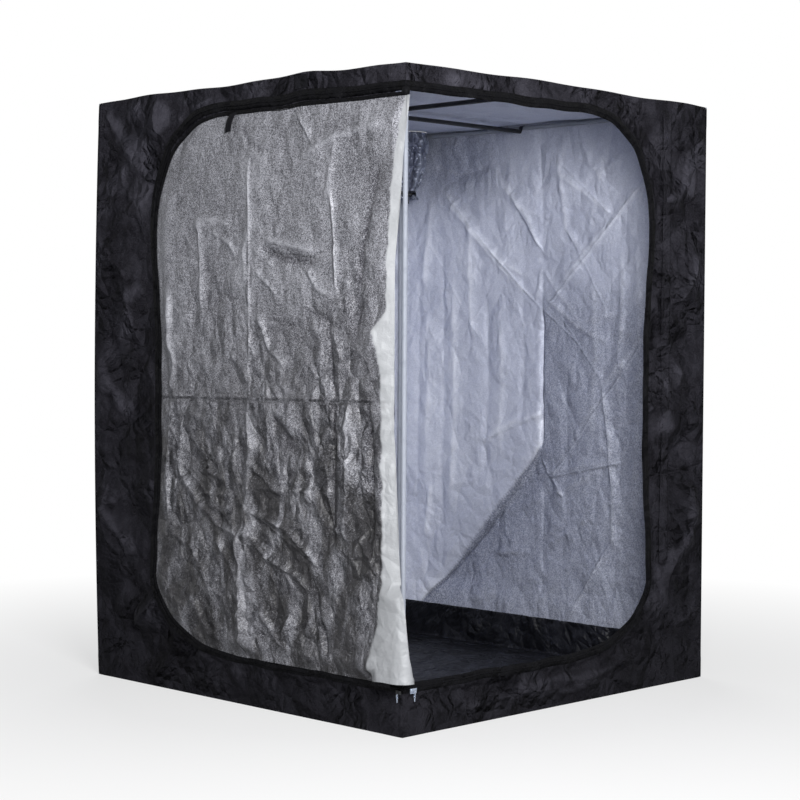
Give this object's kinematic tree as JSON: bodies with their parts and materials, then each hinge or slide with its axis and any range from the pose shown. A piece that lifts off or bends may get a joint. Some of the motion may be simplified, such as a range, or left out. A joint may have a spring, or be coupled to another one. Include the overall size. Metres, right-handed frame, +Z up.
{
  "type": "indoor grow tent",
  "caption": "Square walk-in grow tent with a steel pole frame, foil-lined cloth cover, wrap-around zipped corner door, hanging bars, floor tray and a gathered duct sleeve.",
  "frame": {"origin": "middle of the tent's footprint, on the ground, at the underside of the base panel", "axes": "+Z up, the front wall faces -Y, the right wall with the open half of the door faces +X"},
  "size_m": [1.5221, 1.5238, 2],
  "materials": {
    "painted_steel": "white powder coat, glossy",
    "corner_steel": "white powder coat, glossy",
    "black_steel": "black powder coat, satin",
    "cover_cloth": "black coated canvas outside, foil lining inside",
    "foil_cloth": "embossed silver foil lining, crinkled",
    "webbing": "black woven tape",
    "zip_metal": "bright nickel plate",
    "tray_cloth": "black coated waterproof cloth",
    "sleeve_foil": "pale lined cloth, crinkled",
    "black_plastic": "moulded",
    "vent_net": "fine black net"
  },
  "bodies": {
    "tent": {"lower_post_front_right": "painted_steel", "lower_post_front_left": "painted_steel", "lower_post_rear_right": "painted_steel", "lower_post_rear_left": "painted_steel", "upper_post_front_right": "painted_steel", "upper_post_front_left": "painted_steel", "upper_post_rear_right": "painted_steel", "upper_post_rear_left": "painted_steel", "base_rail_front": "painted_steel", "base_rail_rear": "painted_steel", "base_rail_left": "painted_steel", "base_rail_right": "painted_steel", "top_rail_front": "painted_steel", "top_rail_rear": "painted_steel", "top_rail_left": "painted_steel", "top_rail_right": "painted_steel", "base_corner_front_right": "corner_steel", "base_corner_front_left": "corner_steel", "base_corner_rear_right": "corner_steel", "base_corner_rear_left": "corner_steel", "top_corner_front_right": "corner_steel", "top_corner_front_left": "corner_steel", "top_corner_rear_right": "corner_steel", "top_corner_rear_left": "corner_steel", "base_panel": "cover_cloth", "roof_panel": "cover_cloth", "front_wall": "cover_cloth", "rear_wall": "cover_cloth", "left_wall": "cover_cloth", "right_wall": "cover_cloth", "door_front_half": "cover_cloth", "front_zip_tape": "webbing", "side_zip_tape": "webbing", "top_band_patch": "webbing", "storm_flap": "cover_cloth", "duct_sleeve": "sleeve_foil", "sleeve_drawstring": "webbing", "intake_vent_net": "vent_net"},
    "door_flap": {"door_side_half": "foil_cloth", "flap_zip_tape": "webbing", "tie_strap": "webbing"},
    "lengthwise_bar": {"hanging_bar_lengthwise": "black_steel"},
    "crosswise_bar": {"hanging_bar_crosswise": "black_steel"},
    "front_slider": {"front_zip_slider": "zip_metal"},
    "front_pull": {"front_zip_pull": "zip_metal"},
    "side_slider": {"side_zip_slider": "zip_metal"},
    "side_pull": {"side_zip_pull": "zip_metal"},
    "tray": {"floor_tray": "tray_cloth"},
    "lock": {"cord_lock": "black_plastic"},
    "lock_button": {"cord_lock_button": "black_plastic"},
    "vent_cover": {"intake_vent_cover": "cover_cloth"}
  },
  "joints": [
    {"name": "door_swing", "type": "hinge", "parent": "tent", "child": "door_flap", "pos_m": [0.756, -0.756, 0], "axis": [0, 0, 1], "range_deg": [0, 270]},
    {"name": "lengthwise_bar_slide", "type": "slide", "parent": "tent", "child": "lengthwise_bar", "axis": [1, 0, 0], "range_m": [-0.4, 0.7]},
    {"name": "crosswise_bar_slide", "type": "slide", "parent": "tent", "child": "crosswise_bar", "axis": [0, 1, 0], "range_m": [-0.45, 0.65]},
    {"name": "front_slider_run", "type": "slide", "parent": "tent", "child": "front_slider", "axis": [-1, 0, 0], "range_m": [0, 0.7]},
    {"name": "front_pull_swing", "type": "hinge", "parent": "front_slider", "child": "front_pull", "pos_m": [0.736, -0.7588, 0.1301], "axis": [-1, 0, 0], "range_deg": [0, 110]},
    {"name": "side_slider_run", "type": "slide", "parent": "tent", "child": "side_slider", "axis": [0, 1, 0], "range_m": [0, 0.67]},
    {"name": "side_pull_swing", "type": "hinge", "parent": "side_slider", "child": "side_pull", "pos_m": [0.7588, -0.707, 0.1301], "axis": [0, -1, 0], "range_deg": [0, 110]},
    {"name": "tray_lift", "type": "slide", "parent": "tent", "child": "tray", "axis": [0, 0, 1], "range_m": [0, 0.1]},
    {"name": "lock_slide", "type": "slide", "parent": "tent", "child": "lock", "axis": [0, 0, -1], "range_m": [0, 0.022]},
    {"name": "lock_press", "type": "slide", "parent": "lock", "child": "lock_button", "axis": [-0.7071, -0.7071, 0], "range_m": [0, 0.0035], "stiffness_N_per_m": 300},
    {"name": "vent_cover_swing", "type": "hinge", "parent": "tent", "child": "vent_cover", "pos_m": [-0.75135, 0, 0.47], "axis": [0, 1, 0], "range_deg": [0, 150]}
  ]
}
